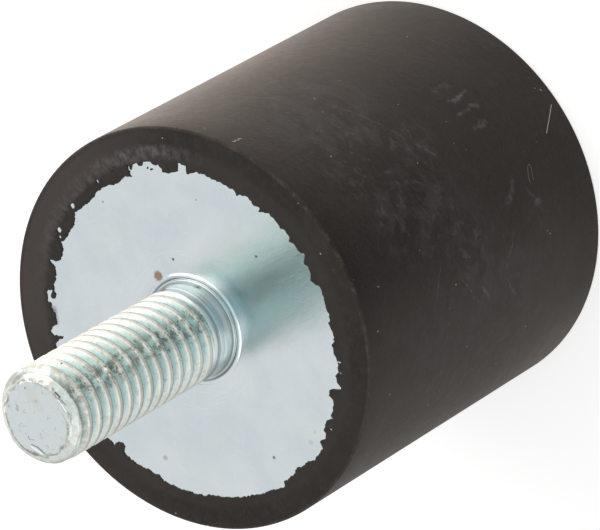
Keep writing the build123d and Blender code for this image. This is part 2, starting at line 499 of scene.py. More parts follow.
def zinc_plate_finish():
    """Bright zinc plating on the flat pressed plates, with scratches, specks and stains."""
    f = Finish("zinc_on_plate")
    clouds = f.grain(0.3, 5.0, 0.6)
    mottle = f.grain(2.6, 6.0, 0.65)
    fine = f.grain(11.0, 4.0, 0.7)
    f.ground(f.ramp(clouds, 0.3, 0.7), (0.560, 0.628, 0.655), (0.628, 0.668, 0.690))
    f.coat(f.ramp(mottle, 0.55, 0.8, 0.0, 0.35), (0.66, 0.70, 0.70))
    f.coat(f.ramp(f.grain(0.45, 3.0, 0.5), 0.55, 0.75, 0.0, 0.30), (0.60, 0.66, 0.61))

    # Scratches that run any way, and faint arcs from the coining tool
    scratches = 0.0
    for turn in (0.5, 1.4, 2.6):
        cosine, sine = math.cos(turn), math.sin(turn)
        along = f.scaled(f.y, sine, f.times(f.x, cosine))
        across = f.scaled(f.y, cosine, f.times(f.x, -sine))
        lines = f.join(f.times(along, 0.9), f.times(across, 9.0), turn)
        lines = f.ramp(f.noise(lines, 1.0, 3.0, 0.6), 0.64, 0.70)
        scratches = f.math("MAXIMUM", scratches, lines)
    arcs = f.join(f.times(f.radius, 9.0), f.times(f.bearing, 1.2), 0.0)
    arcs = f.ramp(f.noise(arcs, 1.0, 3.0, 0.6), 0.56, 0.66)
    arcs = f.times(arcs, f.band(f.radius, 3.7, 5.3, 0.6))
    marks = f.math("MAXIMUM", f.times(scratches, 0.22), f.times(arcs, 0.30))
    f.coat(marks, (0.72, 0.76, 0.76))

    for x, y, size, share, colour in PLATE_MARKS:
        there = f.spot((x, y, STUD_PLATE_FACE), size, size * 0.35, size * 1.1, 2.2 / size)
        f.coat(f.times(there, share), colour)

    # Carbon black wiped off the rubber's edge
    wiped = f.noise(f.join(f.times(f.bearing, 60.0), f.radius, 0.0), 1.0, 4.0, 0.6)
    wiped = f.times(
        f.near_bearing(61.5, 3.2, 1.6),
        f.ramp(f.radius, 9.7, 10.2),
        f.ramp(wiped, 0.3, 0.6, 0.3, 1.0),
    )
    f.coat(f.times(wiped, 0.93), (0.020, 0.028, 0.036))

    f.bump(0.28, 0.00002, f.scaled(marks, -0.9, f.scaled(mottle, 1.5, fine)))
    roughness = f.scaled(marks, 0.18, f.scaled(mottle, 0.08, 0.070))
    return f.finish(Metallic=1.0, Roughness=roughness)


# A nick on the neck, beside the coined ring
NECK_NICK = on_wall(NECK_RADIUS, 312, STUD_PLATE_FACE + 0.35)
# Pits and rust on the thread, and painted glints: bearing, height, size, share and colour
STUD_MARKS_AND_GLINTS = (
    (313.9, 39.05, 0.07, 0.95, (0.05, 0.05, 0.04)),
    (253.4, 36.12, 0.08, 0.95, (0.09, 0.05, 0.04)),
    (232.0, 38.60, 0.08, 0.60, (0.25, 0.15, 0.12)),
    (263.0, 33.40, 0.10, 0.80, (0.16, 0.11, 0.08)),
    (280.0, 36.90, 0.09, 0.90, (0.97, 0.97, 0.95)),
    (285.0, 32.10, 0.08, 0.90, (0.97, 0.97, 0.95)),
    (279.0, 33.00, 0.07, 0.85, (0.95, 0.93, 0.86)),
    (296.0, 38.20, 0.12, 0.60, (0.12, 0.11, 0.08)),
    (290.0, 35.30, 0.12, 0.55, (0.12, 0.11, 0.08)),
)
# Nicks and stains at the stud's tip: start, end, half width, share and colour
TIP_MARKS = (
    ((-1.25, 1.42), (-1.86, 1.02), 0.09, 0.80, (0.90, 0.92, 0.90)),
    ((-1.10, 1.34), (-1.41, 1.04), 0.045, 0.85, (0.12, 0.13, 0.11)),
    ((-1.41, 1.04), (-1.84, 0.86), 0.055, 0.90, (0.10, 0.11, 0.10)),
    ((-1.84, 0.86), (-2.06, 0.78), 0.040, 0.75, (0.16, 0.17, 0.15)),
    ((-0.60, 1.24), (-0.80, 1.27), 0.045, 0.75, (0.16, 0.16, 0.14)),
    ((-0.80, 1.27), (-0.96, 0.99), 0.035, 0.60, (0.25, 0.25, 0.22)),
    ((0.32, -2.13), (-0.06, -2.18), 0.060, 0.95, (0.95, 0.95, 0.95)),
    ((-0.06, -2.18), (-0.48, -2.19), 0.050, 0.95, (0.95, 0.95, 0.95)),
    ((0.78, -2.17), (0.40, -2.30), 0.060, 0.92, (0.04, 0.04, 0.04)),
    ((0.20, -2.30), (-0.15, -2.36), 0.040, 0.70, (0.10, 0.10, 0.09)),
    ((-0.45, -1.90), (-1.00, -1.82), 0.060, 0.45, (0.40, 0.34, 0.26)),
    ((-1.00, -1.82), (-1.50, -1.52), 0.070, 0.50, (0.40, 0.34, 0.26)),
    ((-1.50, -1.52), (-2.05, -0.95), 0.060, 0.40, (0.42, 0.36, 0.28)),
    ((2.50, 0.30), (2.66, -0.50), 0.220, 0.60, (0.22, 0.24, 0.22)),
    ((1.87, -0.39), (1.83, -0.39), 0.060, 0.90, (0.08, 0.08, 0.08)),
    ((1.70, 1.35), (1.66, 1.36), 0.050, 0.80, (0.14, 0.14, 0.13)),
    ((1.43, 1.41), (1.40, 1.42), 0.050, 0.80, (0.14, 0.14, 0.13)),
    ((0.95, 2.05), (0.45, 2.06), 0.040, 0.45, (0.24, 0.23, 0.20)),
    ((-0.20, 2.24), (-0.25, 2.26), 0.060, 0.70, (0.16, 0.16, 0.14)),
    ((1.60, -0.55), (0.40, -0.60), 0.450, 0.30, (0.58, 0.54, 0.46)),
)


def zinc_stud_finish():
    """Bright zinc plating on the rolled thread, with stains on its crests, dirt in its grooves,
    and painted shade and light.
    """
    f = Finish("zinc_on_thread")
    mottle = f.grain(3.0, 6.0, 0.68)
    patches = f.grain(1.3, 5.0, 0.7)
    lay = f.join(f.times(f.bearing, 1.6), f.times(f.z, 7.0), f.radius)
    lay = f.noise(lay, 1.0, 5.0, 0.68)
    groove, lee, edge_of_crest = (
        f.node("ShaderNodeAttribute", attribute_name=name).outputs["Fac"]
        for name in ("groove", "lee", "edge")
    )
    on_thread = f.band(f.z, NECK_TOP + 0.3, THREAD_TOP, 0.12)
    on_tip = f.ramp(f.z, STUD_TIP - 0.10, STUD_TIP - 0.03)
    f.ground(f.ramp(mottle, 0.3, 0.7), (0.700, 0.810, 0.805), (0.785, 0.855, 0.840))
    f.coat(f.ramp(lay, 0.5, 0.75, 0.0, 0.5), (0.50, 0.590, 0.580))

    # The plain neck, turned and darkened with painted shade, with the thread's end and a nick
    plain = f.math("SUBTRACT", 1.0, on_thread)
    plain = f.times(plain, f.ramp(f.z, NECK_TOP + 1.0, NECK_TOP + 0.5))
    f.coat(f.times(plain, 0.8), (0.500, 0.555, 0.550))
    turned = f.join(f.times(f.bearing, 0.5), f.times(f.z, 3.2), 0.0)
    turned = f.ramp(f.noise(turned, 1.0, 4.0, 0.7), 0.46, 0.60, 0.0, 0.75)
    f.coat(f.times(turned, plain), (0.340, 0.380, 0.380))
    end_of_thread = f.band(f.z, NECK_TOP - 0.14, NECK_TOP + 0.22, 0.06)
    f.coat(f.times(end_of_thread, 0.75), (0.27, 0.30, 0.30))
    f.coat(f.times(f.spot(NECK_NICK, 0.13, 0.05, 1.2, 9.0), 0.9), (0.06, 0.07, 0.07))

    # Dull crests, partly a stain and partly a painted reflection of the pale floor
    crest = f.times(on_thread, f.ramp(groove, 0.14, 0.36, 1.0, 0.0))
    stain_and_reflection = f.times(crest, f.ramp(patches, 0.32, 0.58, 0.40, 0.85))
    f.coat(stain_and_reflection, (0.655, 0.645, 0.575))
    # The flanks that face down, seen only in the plate, painted bright teal as a painted
    # reflection
    f.coat(f.times(lee, f.ramp(groove, 0.08, 0.30), on_thread), (0.64, 0.98, 1.00))
    # Grime and painted shade deep in the roots of the grooves
    root_grime_and_shade = f.times(f.ramp(groove, 0.80, 0.88), f.ramp(patches, 0.38, 0.62, 0.25, 0.95))
    f.coat(root_grime_and_shade, (0.060, 0.064, 0.054))
    # A dark green patch on the side that faces the camera: partly grime, partly a painted dark
    # reflection
    facing_camera = f.near_bearing(277, 15, 12)
    ragged = f.ramp(f.grain(1.5, 6.0, 0.78, 0.4), 0.45, 0.58)
    f.coat(f.times(facing_camera, ragged, on_thread, 0.68), (0.080, 0.105, 0.072))
    specks = f.ramp(f.grain(3.8, 4.0, 0.72), 0.54, 0.62)
    specks = f.times(specks, f.scaled(facing_camera, 0.65, 0.25), on_thread)
    f.coat(specks, (0.200, 0.160, 0.110))

    # Painted shade darkens each crest's lower edge, and a painted glint lies on its upper one here
    # and there
    line = f.math("MAXIMUM", edge_of_crest, 0.0)
    line = f.times(line, f.ramp(mottle, 0.36, 0.58, 0.35, 0.90), on_thread)
    f.coat(line, (0.15, 0.155, 0.13))
    painted_glint = f.times(
        f.math("MINIMUM", edge_of_crest, 0.0),
        -1.0,
        f.ramp(f.grain(2.4, 3.0, 0.6, 0.2), 0.54, 0.60),
        f.scaled(facing_camera, 0.75, 0.15),
        on_thread,
    )
    f.coat(painted_glint, (0.97, 0.95, 0.86))
    # Pits, rust and painted glints
    for bearing, z, size, share, colour in STUD_MARKS_AND_GLINTS:
        centre = on_wall(CREST_RADIUS, bearing, z)
        there = f.spot(centre, size, size * 0.4, size * 0.8, 3.0)
        f.coat(f.times(there, share), colour)

    # The tip: a pitted flat, a rubbed cone and marks round its edge
    pale = f.ramp(patches, 0.52, 0.72, 0.0, 0.55)
    f.coat(on_tip, f.mix_colour(pale, (0.60, 0.655, 0.665), (0.62, 0.585, 0.520)))
    pits = f.ramp(f.grain(2.8, 5.0, 0.72, 0.6), 0.57, 0.64)
    pits = f.times(on_tip, pits, f.ramp(patches, 0.40, 0.6, 0.2, 1.0), 0.6)
    f.coat(pits, (0.24, 0.23, 0.20))
    on_cone = f.band(f.z, THREAD_TOP, STUD_TIP - 0.06, 0.06)
    rubbed = f.ramp(f.grain(1.9, 5.0, 0.7, 0.3), 0.40, 0.60, 0.35, 1.0)
    f.coat(f.times(on_cone, rubbed), (0.60, 0.62, 0.57))
    soiled = f.band(f.z, STUD_TIP - 1.05, STUD_TIP - 0.50, 0.14)
    f.coat(f.times(soiled, f.ramp(patches, 0.40, 0.56), 0.40), (0.27, 0.28, 0.23))
    edge = f.times(on_tip_edge(f), f.ramp(mottle, 0.38, 0.60, 0.25, 0.90))
    f.coat(edge, (0.235, 0.215, 0.175))
    near_top = (f.z, STUD_TIP - 0.7, STUD_TIP - 0.5, 0.0)
    for start, end, half_width, share, colour in TIP_MARKS:
        f.coat(f.times(f.line(start, end, half_width), f.ramp(*near_top, share)), colour)

    dull = f.math("MAXIMUM", on_thread, on_cone)
    roughness = f.scaled(dull, 0.09, f.scaled(mottle, 0.14, 0.16))
    roughness = f.scaled(on_tip, 0.10, f.scaled(crest, 0.12, roughness))
    f.bump(0.35, 0.00003, f.scaled(f.times(on_tip, patches), 3.0, f.scaled(lay, 1.2, mottle)))
    return f.finish(Metallic=f.scaled(dull, -0.35, 1.0), Roughness=roughness)


def on_tip_edge(f):
    """1 on the uneven edge round the flat of the stud's tip."""
    wander = f.scaled(f.grain(1.6, 4.0, 0.6), 0.7, -0.35)
    near_edge = f.band(f.math("ADD", f.radius, wander), 2.18, 2.34, 0.08)
    return f.times(near_edge, f.ramp(f.z, STUD_TIP - 0.5, STUD_TIP - 0.3))


# ---------------------------------------------------------------- meshes


def part_of(value, full):
    """value as a part of full, from 0 to 1."""
    return min(max(value / full, 0.0), 1.0)


def linked(name, data):
    """A new object in the scene."""
    made = bpy.data.objects.new(name, data)
    bpy.context.collection.objects.link(made)
    return made


def smoothed(mesh, sharp):
    """Shade a mesh smooth but for the edges that turn by more than this angle."""
    mesh.shade_smooth()
    mesh.set_sharp_from_angle(angle=sharp)


def make_piece(name, points, faces, material):
    """A mesh object from points in millimetres, smooth but for its sharp edges."""
    mesh = bpy.data.meshes.new(name)
    mesh.from_pydata((np.asarray(points, float) * MM).tolist(), [], faces)
    mesh.materials.append(material)
    mesh.validate()
    smoothed(mesh, SHARP_EDGE)
    return linked(name, mesh)


def lathe(profile, around):
    """Points and faces of a solid turned from (radius, height) corners.

    The profile runs up from the pole on the axis at the bottom to the one at the top, so that
    the faces point outwards. A profile that starts and ends off the axis is closed on itself.
    """
    angles = np.arange(around) * 2 * math.pi / around
    points, rows, faces = [], [], []
    for radius, height in profile:
        if radius < 1e-9:
            rows.append([len(points)] * around)
            points.append((0.0, 0.0, height))
        else:
            rows.append(list(range(len(points), len(points) + around)))
            points.extend(
                (radius * math.cos(a), radius * math.sin(a), height) for a in angles
            )
    above = rows[1:]
    if profile[0][0] > 1e-9:
        above.append(rows[0])
    for lower, upper in zip(rows, above):
        for k in range(around):
            n = (k + 1) % around
            corners = [lower[k], lower[n], upper[n], upper[k]]
            faces.append(list(dict.fromkeys(corners)))
    return points, faces


def rounded(*corners):
    """(radius, height, fillet) corners as a line, with each fillet as a small arc."""
    line = []
    for k, (radius, height, fillet) in enumerate(corners):
        if not fillet:
            line.append((radius, height))
            continue
        here = Vector((radius, height))
        before = Vector(corners[k - 1][:2]) - here
        after = Vector(corners[k + 1][:2]) - here
        reach = fillet / math.tan(before.angle(after) / 2)
        start, end = here + before.normalized() * reach, here + after.normalized() * reach
        for step in range(ARC_STEPS + 1):
            t = step / ARC_STEPS
            line.append(tuple(start * (1 - t) ** 2 + here * 2 * t * (1 - t) + end * t * t))
    return line


def divided(line, longest):
    """The same line with its long runs split into equal steps."""
    out = [line[0]]
    for (r0, z0), (r1, z1) in zip(line, line[1:]):
        steps = max(1, math.ceil(math.hypot(r1 - r0, z1 - z0) / longest - 1e-6))
        out.extend(
            (r0 + (r1 - r0) * s / steps, z0 + (z1 - z0) * s / steps)
            for s in range(1, steps + 1)
        )
    return out


def grown(piece, tree, values):
    """Run a geometry tree on a piece with these named inputs, and keep the plain mesh."""
    modifier = piece.modifiers.new(tree.name, "NODES")
    modifier.node_group = tree
    for item in tree.interface.items_tree:
        if item.in_out == "INPUT" and item.name in values:
            modifier[item.identifier] = values[item.name]
    piece.data.update()
    bpy.context.view_layer.update()
    graph = bpy.context.evaluated_depsgraph_get()
    mesh = bpy.data.meshes.new_from_object(piece.evaluated_get(graph))
    piece.modifiers.remove(modifier)
    piece.data = mesh
    mesh.name = piece.name
    smoothed(mesh, SHARP_THREAD_EDGE)
    return piece


# ---------------------------------------------------------------- thread

# The groove's section: half its mouth and the run of one flank in half pitches, and how softly
# the flank turns into the root and the crest
GROOVE_HALF_MOUTH = 0.65
FLANK_RUN = 0.52
ROOT_ROUND = 0.08
CREST_ROUND = 0.30
# The crest's lower and upper edge, as shares of the pitch, and how softly they fade
LOWER_EDGE = (0.84, 0.92, 0.03)
UPPER_EDGE = (0.12, 0.18, 0.03)


def thread_tree():
    """Geometry nodes that roll a right-hand thread into the round wall of a blank.

    Outward is -1 for a groove cut in from a shank's crests, and 1 for one cut out from a
    hole's wall. The groove's share of its full depth is kept as the attribute "groove", and
    "lee" is 1 on the flank that faces down. "edge" is 1 along each crest's lower edge, and -1
    along its upper one.
    """
    s = Shape(
        "roll_thread",
        "Blank",
        "Threaded",
        {
            "Pitch": PITCH * MM,
            "Wall Radius": CREST_RADIUS * MM,
            "Depth": THREAD_DEPTH * MM,
            "Outward": -1.0,
            "Bottom": 0.0,
            "Top": 0.04,
            "Run In": 0.0008,
            "Run Out": 0.0001,
            "Unevenness": 0.000012,
        },
    )
    pitch, wall_radius, depth, outward, bottom, top = (
        s.given[name] for name in ("Pitch", "Wall Radius", "Depth", "Outward", "Bottom", "Top")
    )
    x, y, z = s.split(s.node("GeometryNodeInputPosition").outputs[0])
    radius = s.vector("LENGTH", s.join(x, y, 0.0))

    # The helix: how far up its pitch a point lies, and how deep the groove is there
    turn = s.math("DIVIDE", s.math("ARCTAN2", y, x), 2 * math.pi)
    phase = s.math("FRACT", s.math("SUBTRACT", s.math("DIVIDE", z, pitch), turn))
    from_root = s.times(s.math("ABSOLUTE", s.math("SUBTRACT", phase, 0.5)), 2.0)
    flank = s.math("DIVIDE", s.math("SUBTRACT", GROOVE_HALF_MOUTH, from_root), FLANK_RUN)
    share = s.math("SMOOTH_MIN", flank, 1.0, ROOT_ROUND)
    share = s.math("SMOOTH_MAX", share, 0.0, CREST_ROUND)
    rise = s.ramp(s.math("SUBTRACT", z, bottom), 0.0, s.given["Run In"])
    fall = s.ramp(s.math("SUBTRACT", top, z), 0.0, s.given["Run Out"])
    groove = s.times(share, s.times(rise, fall))

    # Only the wall itself moves, and only into the groove
    wobble = s.math("SUBTRACT", s.noise(s.join(x, y, z), 900.0, 2.0), 0.5)
    wobble = s.times(s.math("ABSOLUTE", wobble), s.given["Unevenness"])
    sunk = s.math("ADD", s.times(groove, depth), wobble)
    wall = s.scaled(sunk, outward, wall_radius)
    gap = s.times(s.math("SUBTRACT", wall, radius), outward)
    inside = s.times(s.math("GREATER_THAN", z, bottom), s.math("LESS_THAN", z, top))
    off_wall = s.math("ABSOLUTE", s.math("SUBTRACT", radius, wall_radius))
    near = s.math("LESS_THAN", off_wall, s.times(depth, 1.2))
    moving = s.times(inside, near)
    moved = s.times(s.math("MAXIMUM", gap, 0.0), moving)
    grow = s.math("DIVIDE", s.scaled(moved, outward, radius), s.math("MAXIMUM", radius, 1e-6))
    place = s.join(s.times(x, grow), s.times(y, grow), z)

    edges = s.math("SUBTRACT", s.band(phase, *LOWER_EDGE), s.band(phase, *UPPER_EDGE))
    shape = s.given["Blank"]
    for name, value in (
        ("groove", s.times(groove, moving)),
        ("lee", s.math("GREATER_THAN", phase, 0.5)),
        ("edge", edges),
    ):
        shape = s.node(
            "GeometryNodeStoreNamedAttribute",
            {"Geometry": shape, "Name": name, "Value": value},
            data_type="FLOAT",
            domain="POINT",
        ).outputs[0]
    cut = s.node("GeometryNodeSetPosition", {"Geometry": shape, "Position": place})
    return s.hand_out(cut.outputs[0])


def make_stud(tree, material):
    """The stud: head in the rubber, pilot in its plate, plain neck, rolled thread and worn tip."""
    low = rounded(
        (0, STUD_HEAD_BOTTOM, 0),
        (STUD_HEAD_RADIUS, STUD_HEAD_BOTTOM, 0),
        (STUD_HEAD_RADIUS, STUD_PLATE_BACK, 0),
        (PILOT_RADIUS, STUD_PLATE_BACK, 0),
        (PILOT_RADIUS, PILOT_TOP, 0.06),
        (NECK_RADIUS, PILOT_TOP, 0.08),
        (NECK_RADIUS, NECK_TOP, 0.02),
        (CREST_RADIUS, THREAD_BOTTOM, 0),
    )
    shank = [(CREST_RADIUS, THREAD_BOTTOM), (CREST_RADIUS, THREAD_TOP)]
    shank = divided(shank, STUD_THREAD_STEP)
    tip = rounded(
        (CREST_RADIUS, THREAD_TOP, 0),
        (TIP_FLAT_RADIUS + TIP_SHOULDER_OUT, STUD_TIP - TIP_SHOULDER_DOWN, 0.14),
        (TIP_FLAT_RADIUS, STUD_TIP, 0.10),
        (0, STUD_TIP, 0),
    )
    tip = divided(tip[:-1], STUD_THREAD_STEP) + divided(tip[-2:], TIP_STEP)[1:]
    points, faces = lathe(low + shank[1:] + tip[1:], STUD_SIDES)
    piece = make_piece("threaded_stud", points, faces, material)
    sizes = {
        "Wall Radius": CREST_RADIUS * MM,
        "Bottom": (NECK_TOP - 0.1) * MM,
        "Top": (STUD_TIP - 0.02) * MM,
        "Run Out": 0.00002,
        "Finish": material,
    }
    grown(piece, tree, sizes)
    batter_tip(piece.data)
    return piece


# The part of the tip that blows have reached, and how deep they went
BLOWS_BOTTOM = STUD_TIP - 0.8
BLOWS_RADIUS = 1.7
BLOWS_FADE = 0.4
BLOW_DEPTH = 0.05


def batter_tip(mesh):
    """Knock the edge round the stud's tip out of true, as handling leaves it."""
    for point in mesh.vertices:
        x, y, z = point.co / MM
        near = part_of(z - BLOWS_BOTTOM, BLOWS_FADE)
        near *= part_of(math.hypot(x, y) - BLOWS_RADIUS, BLOWS_FADE)
        if near:
            wide = noise.noise(Vector((x * 1.1, y * 1.1, 4.0)))
            small = noise.fractal(Vector((x * 3.0, y * 3.0, z * 3.0)), 0.8, 2.1, 3)
            grow = 1 + near * (0.022 * wide + 0.012 * min(small, 0.0))
            sink = near * BLOW_DEPTH * (max(wide, 0.0) + max(small, 0.0))
            point.co = Vector((x * grow, y * grow, z - sink)) * MM
    mesh.update()


def make_bush(tree, material):
    """The tapped bush: spigot in its plate, blind barrel in the rubber and its thread."""
    mouth = (TAPPING_RADIUS, BUSH_PLATE_FACE + MOUTH_DEPTH)
    hole = divided([(TAPPING_RADIUS, HOLE_FLOOR), mouth], BUSH_THREAD_STEP)
    outside = rounded(
        (*mouth, 0),
        (MOUTH_RADIUS, BUSH_PLATE_FACE + 0.02, 0.04),
        (MOUTH_RADIUS + 0.1, BUSH_PLATE_FACE, 0),
        (SPIGOT_RADIUS, BUSH_PLATE_FACE, 0.03),
        (SPIGOT_RADIUS, BUSH_PLATE_BACK, 0),
        (BARREL_RADIUS, BUSH_PLATE_BACK, 0.03),
        (BARREL_RADIUS, BARREL_TOP - BARREL_EDGE_BREAK, 0.05),
        (BARREL_RADIUS - BARREL_EDGE_BREAK, BARREL_TOP, 0.05),
        (0, BARREL_TOP, 0),
    )
    points, faces = lathe([(0, DRILL_POINT)] + hole + outside[1:], BUSH_SIDES)
    piece = make_piece("tapped_bush", points, faces, material)
    sizes = {
        "Wall Radius": TAPPING_RADIUS * MM,
        "Depth": BUSH_THREAD_DEPTH * MM,
        "Outward": 1.0,
        "Bottom": (BUSH_PLATE_FACE + 0.2) * MM,
        "Top": (HOLE_FLOOR - 1.0) * MM,
        "Run In": 0.0001,
        "Run Out": 0.0008,
        "Finish": material,
    }
    return grown(piece, tree, sizes)


# ---------------------------------------------------------------- plates

# The coined ring's outline, from its foot in to the hole: distance from the hole and height
COINED_RING = (
    (0.42, 0.0), (0.37, 0.005), (0.32, 0.0), (0.27, 0.04), (0.21, 0.075), (0.15, 0.08),
    (0.09, 0.065), (0.04, 0.02), (0.0, -0.03),
)
PLAIN_HOLE = ((0.0, 0.0),)


def make_plate(name, hole, back, face, round_hole, material):
    """An end plate, turned from its hole's back edge round to its face and in to its hole."""
    line = rounded(
        (hole, back, 0),
        (PLATE_RADIUS, back, 0),
        (PLATE_RADIUS, face, PLATE_EDGE_ROUND),
        (hole + PLATE_LAND, face, 0),
    )
    line = divided(line, PLATE_STEP)
    faces_up = face > back
    for radius, height in round_hole:
        line.append((hole + radius, face + height if faces_up else face - height))
    points, faces = lathe(line, PLATE_SIDES)
    if not faces_up:
        faces = [corners[::-1] for corners in faces]
    return make_piece(name, points, faces, material)


# ---------------------------------------------------------------- rubber and its flash

# The torn edge of the flash, once round, as (bearing, radius)
TORN_EDGE = (
    (57.2, 10.20), (58.5, 10.35), (61, 10.05), (65, 10.02), (65.6, 10.45), (67.5, 10.62),
    (68.7, 10.55), (69, 9.78), (69.8, 9.88), (70.6, 10.30), (72, 10.48), (74, 10.62),
    (110.3, 10.58), (110.8, 10.15), (112.2, 10.03), (113.5, 10.10), (114.4, 10.52),
    (121, 10.58), (125, 10.38), (127.5, 10.47), (129, 10.30), (131, 10.57), (148, 10.57),
    (149, 10.45), (154, 10.50), (165.5, 10.57), (166.4, 10.46), (168.5, 10.60),
    (174.5, 10.53), (180.8, 10.72), (181.7, 10.45), (187, 10.40), (189.2, 10.22),
    (192.5, 10.42), (195, 10.35), (196.5, 10.62), (203.2, 10.65), (203.9, 10.25),
    (207, 10.53), (209.3, 10.15), (212.2, 10.10), (213.9, 10.25), (214.5, 10.52),
    (215.2, 10.20), (217.5, 10.30), (221.2, 10.15), (221.9, 9.80), (224.4, 9.80),
    (225.2, 10.10), (225.8, 10.55), (226.9, 10.55), (227.4, 10.28), (229.9, 10.04),
    (231.5, 10.25), (236.5, 10.15), (238.5, 9.93), (241, 9.90), (242.5, 10.10),
    (247, 10.07), (248.2, 9.92), (250.5, 10.12), (255, 10.06), (261, 10.20), (262.2, 9.96),
    (264.2, 9.70), (266, 9.90), (268.5, 10.05), (270.3, 9.90), (272.8, 10.28), (275, 10.02),
    (277.5, 10.05), (279.2, 9.85), (280.3, 10.12), (285, 10.04), (290.8, 10.14),
    (293.9, 9.70), (294.7, 10.00), (296.5, 9.83), (300.8, 10.05), (304, 9.74), (305, 9.90),
    (313, 9.93), (321, 10.00), (324.8, 9.72), (325.2, 10.22), (328.5, 10.32), (328.8, 9.78),
    (332.8, 9.60), (334.5, 9.65), (335.6, 9.82), (336, 10.12), (337.7, 10.05), (339, 10.32),
    (342.9, 10.36), (343.2, 10.15), (344.6, 10.15), (345, 10.38), (347.3, 10.40),
    (347.6, 10.02), (348.2, 10.05), (348.6, 10.42), (349.2, 10.40), (349.4, 9.68),
    (351.5, 9.76), (356.5, 9.60), (362.5, 9.82), (366.2, 9.86), (368.5, 9.73), (372, 9.72),
    (375.5, 9.86), (379, 9.90), (379.9, 10.05), (381.5, 9.88), (384, 9.68), (390.5, 9.74),
    (393.5, 9.97), (395.5, 9.76), (398.5, 9.68), (400.4, 9.78), (401.2, 10.00),
    (401.4, 10.45), (402.6, 10.50), (403.3, 10.00), (406.5, 9.87), (410.5, 9.98),
    (412.2, 10.02), (412.4, 10.52), (417.1, 10.54), (417.2, 10.20),
)
FIRST_BEARING = TORN_EDGE[0][0]
# Bare specks in the film, and scraps of film on the bare plate: bearing, radius, half width
# and half length in mm
BARE_SPECKS = (
    (210.6, 10.53, 0.09, 0.09), (231.5, 10.36, 0.07, 0.11), (235.1, 10.34, 0.07, 0.10),
    (332.2, 9.87, 0.06, 0.10), (344.0, 10.31, 0.05, 0.08), (355.2, 10.35, 0.05, 0.08),
    (363.6, 10.30, 0.08, 0.16), (374.8, 10.35, 0.05, 0.10), (378.5, 10.37, 0.21, 0.17),
    (382.0, 10.42, 0.05, 0.07), (389.7, 10.37, 0.18, 0.17), (391.9, 10.18, 0.09, 0.10),
)
SCRAPS = (
    (339.8, 9.88, 0.08, 0.07), (341.2, 9.97, 0.06, 0.06), (413.0, 10.04, 0.16, 0.06),
    (414.3, 10.03, 0.20, 0.17), (273.8, 9.80, 0.04, 0.07),
)
# Radii of the film's rows of points, from the rim in to beyond its longest teeth
FILM_ROWS = (*np.linspace(11.5, 10.9, 3), *np.linspace(10.84, 9.4, 30))
# Turn and seed of the film at each end, where a seed below 0 also mirrors it
STUD_END_TEAR = (0.0, 3.0)
TAPPED_END_TEAR = (122.0, -61.0)
# How far the torn edge strays from its line any way, and how far small teeth move it in or out
RAG = 0.07
TOOTH = 0.085
# The film's thickness at the tear, what it gains just behind it, and what it gains by the rim
TORN_THICKNESS = 0.05
LIP_THICKNESS = 0.035
RIM_THICKNESS = 0.065


def film_depth(x, y, turn, seed):
    """How far inside the rubber film a point of a plate lies: below 0 the plate is bare."""
    ragged_x = noise.noise(Vector((x * 5.0, y * 5.0, seed)))
    ragged_y = noise.noise(Vector((x * 5.0, y * 5.0, seed + 5.0)))
    x, y = x + RAG * ragged_x, y + RAG * ragged_y
    radius = math.hypot(x, y)
    bearing = math.degrees(math.atan2(y, x)) * math.copysign(1, seed) - turn
    bearing = (bearing - FIRST_BEARING) % 360 + FIRST_BEARING
    teeth = noise.fractal(Vector((x * 4.5, y * 4.5, seed + 30.0)), 0.7, 2.3, 3)
    depth = radius - np.interp(bearing, *zip(*TORN_EDGE)) + TOOTH * teeth
    for middle, out, half_width, half_length in BARE_SPECKS + SCRAPS:
        across = math.radians(bearing - middle) * radius
        if abs(across) < 2 * half_width:
            off = math.hypot(across / half_width, (radius - out) / half_length) - 1
            off *= min(half_width, half_length)
            bare = (middle, out, half_width, half_length) in BARE_SPECKS
            depth = min(depth, off) if bare else max(depth, -off)
    return depth


def film_height(radius, depth):
    """How far the film's top stands off its plate: thin at the tear, thicker at the rim."""
    lip = part_of(depth, 0.16) ** 0.5
    rim = part_of(radius - 10.2, 1.1)
    return TORN_THICKNESS + LIP_THICKNESS * lip + RIM_THICKNESS * rim


class Moulding:
    """The points and faces of the rubber, with its points in columns at even bearings."""

    def __init__(self):
        angles = np.arange(RUBBER_SIDES) * 2 * math.pi / RUBBER_SIDES
        self.cosines, self.sines = np.cos(angles), np.sin(angles)
        self.points, self.faces = [], []

    def add_point(self, place):
        """Add a point and say its number."""
        self.points.append(place)
        return len(self.points) - 1

    def ring(self, radius, height):
        """A full ring of points."""
        return [
            self.add_point((radius * x, radius * y, height))
            for x, y in zip(self.cosines, self.sines)
        ]

    def skin(self, lower, upper):
        """Faces between two rings, with the second above or inside the first."""
        for k, (low, high) in enumerate(zip(lower, upper)):
            n = (k + 1) % RUBBER_SIDES
            self.faces.append([low, lower[n], upper[n], high])

    def pocket(self, first, corners, faces_up):
        """The hidden pocket that a plate and its fitting fill, closed at its last corner."""
        here = first
        for radius, height in corners:
            following = self.ring(radius, height)
            if faces_up:
                self.skin(here, following)
            else:
                self.skin(following, here)
            here = following
        pole = self.add_point((0.0, 0.0, corners[-1][1]))
        for k, point in enumerate(here):
            after = here[(k + 1) % RUBBER_SIDES]
            self.faces.append([point, after, pole] if faces_up else [after, point, pole])


